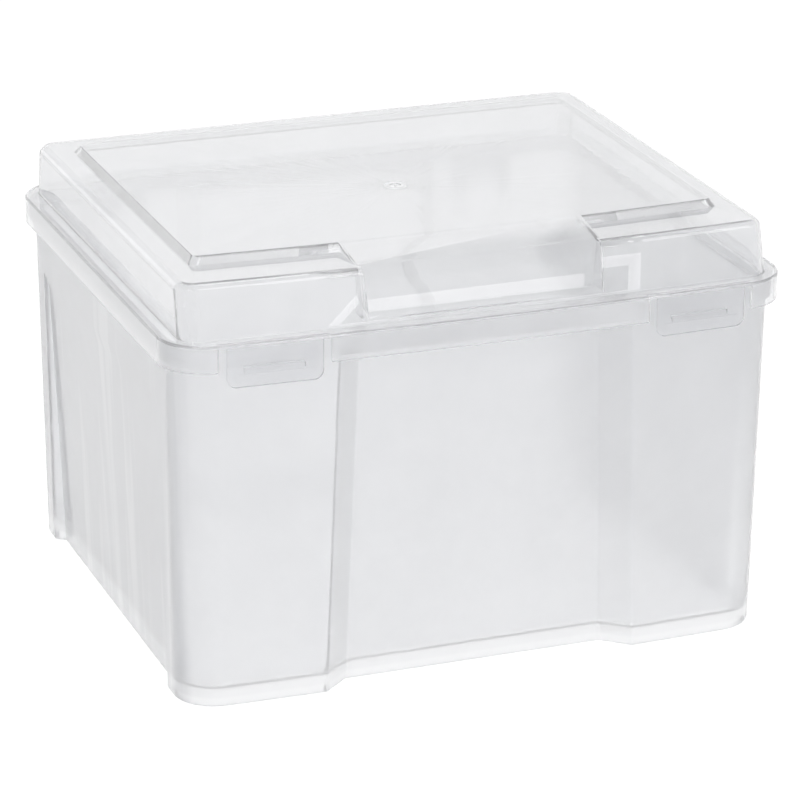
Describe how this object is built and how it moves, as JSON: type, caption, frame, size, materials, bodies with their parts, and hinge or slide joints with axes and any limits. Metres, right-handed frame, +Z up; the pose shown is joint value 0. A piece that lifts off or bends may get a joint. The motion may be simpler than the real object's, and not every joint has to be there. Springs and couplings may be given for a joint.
{
  "type": "greeting card storage box",
  "caption": "Clear plastic card and envelope box with a hinged domed lid, a raised top panel, a front finger notch and snap latches on the lid's skirt.",
  "frame": {"origin": "centre of the bounding box's footprint, on the plane that the feet stand on", "axes": "+X to the right seen from the front, -Y out of the front with the latches, +Y to the hinge, +Z up"},
  "size_m": [0.32, 0.286, 0.2178],
  "materials": {
    "container_clear": "gloss",
    "lid_clear": "gloss",
    "latch_clear": "gloss"
  },
  "bodies": {
    "container": {"container": "container_clear"},
    "lid": {"lid": "lid_clear"},
    "latch_left": {"latch_left": "latch_clear"},
    "latch_right": {"latch_right": "latch_clear"}
  },
  "joints": [
    {"name": "lid_hinge", "type": "hinge", "parent": "container", "child": "lid", "pos_m": [0, 0.135, 0.17], "axis": [-1, 0, 0], "range_deg": [0, 110]},
    {"name": "latch_left_flex", "type": "hinge", "parent": "lid", "child": "latch_left", "pos_m": [-0.10927, -0.1401, 0.1855], "axis": [-0.9993, 0.0384, 0], "range_deg": [0, 20], "stiffness_Nm_per_rad": 0.05},
    {"name": "latch_right_flex", "type": "hinge", "parent": "lid", "child": "latch_right", "pos_m": [0.10927, -0.1401, 0.1855], "axis": [-0.9993, -0.0384, 0], "range_deg": [0, 20], "stiffness_Nm_per_rad": 0.05}
  ]
}
